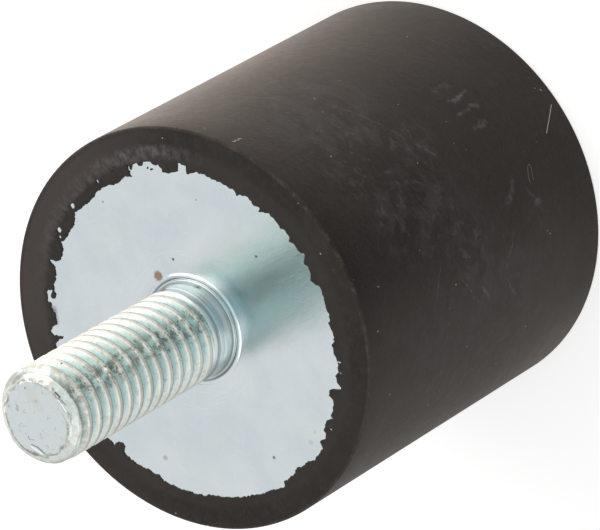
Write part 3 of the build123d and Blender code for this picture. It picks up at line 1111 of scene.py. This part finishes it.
class Film:
    """The torn film on one plate, with its top and its underside joined by a wall at the tear.

    Its points lie on a grid of (row, column), from the outermost row inwards. Up is 1 for the
    film whose top faces up, and -1 for the one whose top faces down.
    """

    def __init__(self, moulding, plate_face, up, tear):
        self.moulding, self.plate_face, self.up = moulding, plate_face, up
        columns = np.array((moulding.cosines, moulding.sines)).T
        self.grid = np.array([radius * columns for radius in FILM_ROWS])
        depth = [film_depth(x, y, *tear) for x, y in self.grid.reshape(-1, 2)]
        self.depth = np.array(depth).reshape(len(FILM_ROWS), RUBBER_SIDES)
        self.depth[0] = self.depth[1] = 1.0
        self.depth[-1] = -1.0
        self.depth[np.abs(self.depth) < 1e-3] = 1e-3
        self.made = {}
        for row in range(len(FILM_ROWS) - 1):
            for column in range(RUBBER_SIDES):
                self.lay_cell(row, column)

    def point(self, key, place, row, depth, under):
        """The number of this point of the top or of the underside, made once."""
        if (key, under) not in self.made:
            lift = 0.0 if under else self.up * film_height(FILM_ROWS[row], depth)
            placed = self.moulding.add_point((*place, self.plate_face + lift))
            self.made[key, under] = placed
        return self.made[key, under]

    def corner(self, at, under):
        """A point of the grid."""
        return self.point(at, self.grid[at], at[0], self.depth[at], under)

    def crossing(self, side, under):
        """The point where the tear crosses the side between two points of the grid."""
        a, b = sorted(side)
        t = self.depth[a] / (self.depth[a] - self.depth[b])
        place = self.grid[a] * (1 - t) + self.grid[b] * t
        return self.point((a, b), place, a[0], 0.0, under)

    def lay_cell(self, row, column):
        """Both skins of one cell as far as the film reaches, and the wall along its tear."""
        n = (column + 1) % RUBBER_SIDES
        cell = [(row, column), (row, n), (row + 1, n), (row + 1, column)]
        inside = [self.depth[at] > 0 for at in cell]
        outline, leaving = [], []
        for k in range(4):
            after = (k + 1) % 4
            if inside[k]:
                outline.append((self.corner, cell[k]))
            if inside[k] != inside[after]:
                outline.append((self.crossing, (cell[k], cell[after])))
                if inside[k]:
                    leaving.append(len(outline) - 1)
        if outline:
            for under in (False, True):
                face = [make(at, under) for make, at in outline]
                self.add_face(face[::-1] if under else face)
        for k in leaving:
            out, back = outline[k][1], outline[(k + 1) % len(outline)][1]
            top, underside = self.crossing(out, False), self.crossing(out, True)
            far_underside, far_top = self.crossing(back, True), self.crossing(back, False)
            self.add_face([top, underside, far_underside, far_top])

    def add_face(self, face):
        """Add a face that is drawn for the film whose top faces up."""
        self.moulding.faces.append(face if self.up > 0 else face[::-1])

    def outer_ring(self, under):
        """The outermost row of the top or of the underside."""
        return [self.corner((0, column), under) for column in range(RUBBER_SIDES)]


def make_rubber(material):
    """The rubber with its rounded rims, the ragged film on both plates and its pockets."""
    rubber = Moulding()
    stud_film = Film(rubber, STUD_PLATE_FACE, 1, STUD_END_TEAR)
    tapped_film = Film(rubber, BUSH_PLATE_FACE, -1, TAPPED_END_TEAR)

    half_side = [(RIM_RADIUS, BODY_BOTTOM)]
    for step in range(ARC_STEPS + 1):
        a = math.radians(90 * step / ARC_STEPS)
        radius = BODY_RADIUS - CORNER_ROUND + CORNER_ROUND * math.sin(a)
        half_side.append((radius, BODY_BOTTOM + CORNER_ROUND - CORNER_ROUND * math.cos(a)))
    upper_half = [(radius, BODY_TOP - height) for radius, height in reversed(half_side)]
    below = tapped_film.outer_ring(False)
    for radius, height in divided(half_side + upper_half, SIDE_STEP):
        here = rubber.ring(radius, height)
        rubber.skin(below, here)
        below = here
    rubber.skin(below, stud_film.outer_ring(False))

    stud_pocket = (
        (PLATE_RADIUS, STUD_PLATE_BACK),
        (STUD_HEAD_RADIUS, STUD_PLATE_BACK),
        (STUD_HEAD_RADIUS, STUD_HEAD_BOTTOM),
    )
    rubber.pocket(stud_film.outer_ring(True), stud_pocket, True)
    bush_pocket = (
        (PLATE_RADIUS, BUSH_PLATE_BACK),
        (BARREL_RADIUS, BUSH_PLATE_BACK),
        (BARREL_RADIUS, BARREL_TOP - BARREL_EDGE_BREAK),
        (BARREL_RADIUS - BARREL_EDGE_BREAK, BARREL_TOP),
    )
    rubber.pocket(tapped_film.outer_ring(True), bush_pocket, False)
    return make_piece("moulded_rubber", rubber.points, rubber.faces, material)


# ---------------------------------------------------------------- lint and dust


def lint_finish():
    """Pale lint and dust, a little yellow, and brown on the looped hair."""
    f = Finish("lint")
    brown = f.times(f.near_bearing(261, 5, 1), f.band(f.z, 5.0, 7.0, 0.3))
    f.ground(brown, (0.52, 0.48, 0.38), (0.17, 0.135, 0.085))
    return f.finish(Roughness=0.7, Specular_IOR_Level=0.2)


# Fibres caught on the side, as (bearing, height) from one end to the other
FIBRES = (
    ((268.0, 2.66), (269.6, 2.20), (271.2, 1.71), (272.8, 1.22), (274.2, 0.78)),
    (
        (258.6, 5.78), (260.4, 5.64), (262.2, 5.52), (263.1, 5.60), (262.6, 5.80),
        (261.0, 6.02), (259.4, 6.16), (258.2, 6.14),
    ),
    (
        (310.4, 24.15), (310.9, 24.30), (310.5, 24.48), (311.1, 24.62), (310.7, 24.80),
        (311.2, 24.92),
    ),
)
FIBRE_RADIUS = 0.028
FIBRE_DEPTH = 0.012  # how far a fibre's middle lies in the rubber's skin


def fibre_tree():
    """Geometry nodes that spin each drawn line of points into a smooth round fibre."""
    s = Shape("spin_fibre", "Lines", "Fibres", {"Radius": FIBRE_RADIUS * MM})
    curve = s.node("GeometryNodeMeshToCurve", {"Mesh": s.given["Lines"]}).outputs[0]
    curve = s.node(
        "GeometryNodeCurveSplineType", {"Curve": curve}, spline_type="CATMULL_ROM"
    ).outputs[0]
    curve = s.node("GeometryNodeResampleCurve", {"Curve": curve, "Count": 24}).outputs[0]
    section = {"Resolution": 6, "Radius": s.given["Radius"]}
    section = s.node("GeometryNodeCurvePrimitiveCircle", section).outputs[0]
    tube = {"Curve": curve, "Profile Curve": section, "Fill Caps": True}
    return s.hand_out(s.node("GeometryNodeCurveToMesh", tube).outputs[0])


def make_fibres(material):
    """The fibres, each half sunk in the skin of the rubber."""
    points, edges = [], []
    for fibre in FIBRES:
        for k, (bearing, height) in enumerate(fibre):
            if k:
                edges.append((len(points) - 1, len(points)))
            points.append(Vector(on_wall(BODY_RADIUS - FIBRE_DEPTH, bearing, height)) * MM)
    mesh = bpy.data.meshes.new("fibres")
    mesh.from_pydata(points, edges, [])
    piece = linked("fibres", mesh)
    grown(piece, fibre_tree(), {"Finish": material})
    return kept_in_box(piece)


def dust_tree():
    """Geometry nodes that scatter flat specks over the faces that are open to the air."""
    s = Shape(
        "settle_dust",
        "Surface",
        "Dust",
        {
            "Density": 55000.0,
            "Smallest": 0.00002,
            "Largest": 0.00006,
            "Body Radius": BODY_RADIUS * MM,
            "Rim Width": 0.0012,
            "Seed": 11,
        },
    )
    given = s.given
    x, y, z = s.split(s.node("GeometryNodeInputPosition").outputs[0])
    radius = s.vector("LENGTH", s.join(x, y, 0.0))
    rim = s.math("SUBTRACT", given["Body Radius"], given["Rim Width"])
    off_the_floor = s.math("GREATER_THAN", z, given["Largest"])
    scatter = s.node(
        "GeometryNodeDistributePointsOnFaces",
        {
            "Mesh": given["Surface"],
            "Selection": s.times(s.math("GREATER_THAN", radius, rim), off_the_floor),
            "Density": given["Density"],
            "Seed": given["Seed"],
        },
        distribute_method="RANDOM",
    ).outputs
    size = s.node(
        "FunctionNodeRandomValue",
        {2: given["Smallest"], 3: given["Largest"], "Seed": given["Seed"]},
        data_type="FLOAT",
    ).outputs[1]
    speck = s.node("GeometryNodeMeshIcoSphere", {"Radius": 1.0, "Subdivisions": 1})
    placed = s.node(
        "GeometryNodeInstanceOnPoints",
        {
            "Points": scatter["Points"],
            "Instance": speck.outputs[0],
            "Rotation": scatter["Rotation"],
            "Scale": s.vector("SCALE", s.join(1.0, 0.7, 0.25), scale=size),
        },
    )
    return s.hand_out(placed.outputs[0])


def kept_in_box(piece):
    """Press what stands proud of the mount's outermost sides back to them."""
    for point in piece.data.vertices:
        for axis in range(3):
            inside = max(point.co[axis], cad_low[axis])
            point.co[axis] = min(inside, cad_high[axis])
    piece.data.update()
    return piece


def make_dust(body, material):
    """Specks of dust over the rubber's side and rims."""
    piece = linked("dust", body.data.copy())
    grown(piece, dust_tree(), {"Finish": material})
    return kept_in_box(piece)


# ---------------------------------------------------------------- the mount

rubber = rubber_finish()
zinc_plate = zinc_plate_finish()
zinc_stud = zinc_stud_finish()
roll_thread = thread_tree()

body = make_rubber(rubber)
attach(body, "root")
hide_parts("rubber_body")

lint = lint_finish()
dust = make_dust(body, lint)
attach(dust, "root")

fibres = make_fibres(lint)
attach(fibres, "root")

stud = make_stud(roll_thread, zinc_stud)
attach(stud, "root")
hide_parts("stud")

bush = make_bush(roll_thread, zinc_stud)
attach(bush, "root")
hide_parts("threaded_bush")

stud_plate = make_plate(
    "stud_end_plate", PILOT_RADIUS, STUD_PLATE_BACK, STUD_PLATE_FACE, COINED_RING, zinc_plate
)
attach(stud_plate, "root")
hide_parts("stud_plate")

tapped_plate = make_plate(
    "tapped_end_plate", SPIGOT_RADIUS, BUSH_PLATE_BACK, BUSH_PLATE_FACE, PLAIN_HOLE, zinc_plate
)
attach(tapped_plate, "root")
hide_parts("bush_plate")


# ---------------------------------------------------------------- studio, in metres

ROOM_LIGHT = 0.55
FLOOR_LIFT = 0.58
FLOOR_HALF_WIDTH = 3.0
LAMP_WIDTH = 0.7
LAMP_AIM = Vector((0, 0, 0.015))
CARD_AIM = Vector((0, 0, 0.030))
CARD_DISTANCE = 0.6


def flat_sheet(name, places, material):
    """A face of the studio between four corners."""
    mesh = bpy.data.meshes.new(name)
    mesh.from_pydata(places, [], [(0, 1, 2, 3)])
    mesh.materials.append(material)
    return linked(name, mesh)


def square_corners(half_width, half_depth):
    """The corners of a sheet that lies flat round the origin."""
    signs = ((-1, -1), (1, -1), (1, 1), (-1, 1))
    return [Vector((half_width * x, half_depth * y, 0)) for x, y in signs]


def direction(bearing, height):
    """The way to a lamp or card at a bearing and an angle above the floor, and its turn."""
    x, y, _ = on_wall(math.cos(math.radians(height)), bearing, 0)
    back = Vector((x, y, math.sin(math.radians(height))))
    return back, back.to_track_quat("Z", "Y")


def pale_floor():
    """A wide pale floor, which shows white round the object and keeps its shadow."""
    material = bpy.data.materials.new("pale_floor")
    material.use_nodes = True
    b = Bench(material.node_tree)
    shader = b.tree.nodes["Principled BSDF"]
    path = b.node("ShaderNodeLightPath").outputs
    where = b.split(b.node("ShaderNodeTexCoord").outputs["Object"])
    # Painted light: seen in gloss, the floor glows warm, brighter on its +X side and most at the
    # corner there
    painted_lit_corner = b.times(b.ramp(where["X"], 0.0, 0.02), b.ramp(where["Y"], -0.014, 0.012))
    painted_floor_glow = b.ramp(where["X"], -0.030, 0.035, 0.10, 0.85)
    painted_floor_glow = b.times(path["Is Glossy Ray"], b.scaled(painted_lit_corner, 1.3, painted_floor_glow))
    look = {
        "Base Color": (0.70, 0.70, 0.70),
        "Roughness": 0.9,
        "Specular IOR Level": 0.0,
        "Emission Color": b.mix_colour(path["Is Glossy Ray"], (1, 1, 1), (1.0, 0.87, 0.75)),
        "Emission Strength": b.scaled(path["Is Camera Ray"], FLOOR_LIFT, painted_floor_glow),
    }
    for name, value in look.items():
        feed(b.tree, shader.inputs[name], value)
    corners = square_corners(FLOOR_HALF_WIDTH, FLOOR_HALF_WIDTH)
    floor = flat_sheet("floor", corners, material)


def soft_room():
    """Even light from all round, and a white backdrop for the camera, a gloss or a clear piece."""
    world = bpy.data.worlds.new("soft_room")
    bpy.context.scene.world = world
    world.use_nodes = True
    b = Bench(world.node_tree)
    background = b.tree.nodes["Background"]
    path = b.node("ShaderNodeLightPath").outputs
    seen = b.math("MAXIMUM", path["Is Camera Ray"], path["Is Glossy Ray"])
    seen = b.math("MAXIMUM", seen, path["Is Transmission Ray"])
    feed(b.tree, background.inputs["Color"], (1, 1, 1))
    feed(b.tree, background.inputs["Strength"], b.scaled(seen, 1 - ROOM_LIGHT, ROOM_LIGHT))


def glowing_reflection_card(name, bearing, height, width, depth, colour, edge=None):
    """A glowing card that only gloss shows, a painted reflection standing in for a flag beside the
    camera.

    Edge is the colour that it deepens to along its +X side.
    """
    back, turn = direction(bearing, height)
    centre = CARD_AIM + back * CARD_DISTANCE
    places = [centre + turn @ corner for corner in square_corners(width / 2, depth / 2)]
    material = bpy.data.materials.new(name)
    material.use_nodes = True
    b = Bench(material.node_tree)
    b.tree.nodes.remove(b.tree.nodes["Principled BSDF"])
    if edge:
        last = max(place.x for place in places)
        across = b.split(b.node("ShaderNodeTexCoord").outputs["Object"])["X"]
        deep = b.ramp(across, last - 0.40 * width, last - 0.14 * width)
        colour = b.mix_colour(deep, colour, edge)
    glow = b.node("ShaderNodeEmission", {"Color": colour, "Strength": 1.0})
    feed(b.tree, b.tree.nodes["Material Output"].inputs["Surface"], glow.outputs[0])
    card = flat_sheet(name, places, material)
    for kind in ("camera", "diffuse", "transmission", "volume_scatter", "shadow"):
        setattr(card, "visible_" + kind, False)


def softbox(name, bearing, height, distance, power, colour):
    """A square soft lamp at a bearing and an angle above the floor, aimed at the mount."""
    lamp = bpy.data.lights.new(name, "AREA")
    lamp.size = LAMP_WIDTH
    lamp.energy = power
    lamp.color = colour
    back, turn = direction(bearing, height)
    made = linked(name, lamp)
    made.location = LAMP_AIM + back * distance
    made.rotation_mode = "QUATERNION"
    made.rotation_quaternion = turn
    made.visible_camera = False


def set_camera():
    """The camera looks down on the stud's end, and lies nearly on its side."""
    lens = bpy.data.cameras.new("camera")
    lens.lens = 365.2
    lens.clip_start, lens.clip_end = 0.01, 20
    camera = linked("camera", lens)
    where = Vector((0, -0.234158, 0.294380))
    aim = Vector((0.00011, 0, 0.013912))
    roll = math.radians(-119.95)
    look = (aim - where).normalized()
    right = look.cross(Vector((0, 0, 1))).normalized()
    up = right.cross(look)
    across = math.cos(roll) * right + math.sin(roll) * up
    upright = (-look).cross(across)
    turn = Matrix((across, upright, -look)).transposed()
    camera.matrix_world = Matrix.Translation(where) @ turn.to_4x4()
    bpy.context.scene.camera = camera


pale_floor()
soft_room()
softbox("key", 5, 38, 0.7, 2.5, (1.0, 0.95, 0.91))
softbox("fill", 200, 40, 0.8, 1.2, (1.0, 1.0, 1.0))
# Glowing cards, seen only in gloss, paint the teal reflections on the zinc
glowing_reflection_card("camera_card", 270, 51, 0.44, 0.22, (0.60, 1.0, 1.08))
glowing_reflection_card("roof_card", 250, 86, 0.46, 0.34, (0.88, 1.0, 1.0), (0.24, 0.42, 0.36))
set_camera()
bpy.context.scene.view_settings.view_transform = "Standard"
